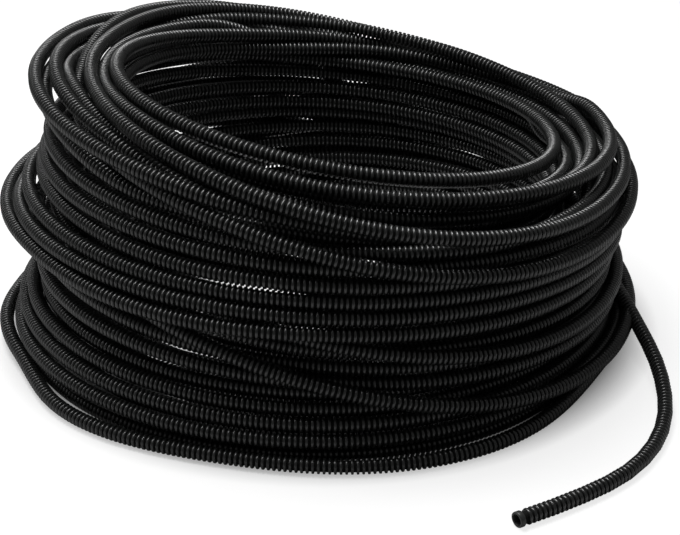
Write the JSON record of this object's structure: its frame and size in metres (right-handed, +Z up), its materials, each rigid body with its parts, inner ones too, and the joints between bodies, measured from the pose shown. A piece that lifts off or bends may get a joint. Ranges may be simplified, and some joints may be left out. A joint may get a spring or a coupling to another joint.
{
  "type": "flexible conduit",
  "caption": "Loose leaning ring of black ribbed flexible conduit, wound in many turns, with one open cut end lying in front.",
  "frame": {"origin": "middle of the whole outline, at the floor that the ring lies on", "axes": "+Z up; the ring leans towards +X and a little to the back, and its free end lies in front at -Y"},
  "size_m": [0.4586, 0.5103, 0.1985],
  "materials": {
    "ribbed_plastic": "satin"
  },
  "bodies": {
    "root": {"conduit_coil": "ribbed_plastic", "conduit_free_end": "ribbed_plastic"}
  },
  "joints": []
}
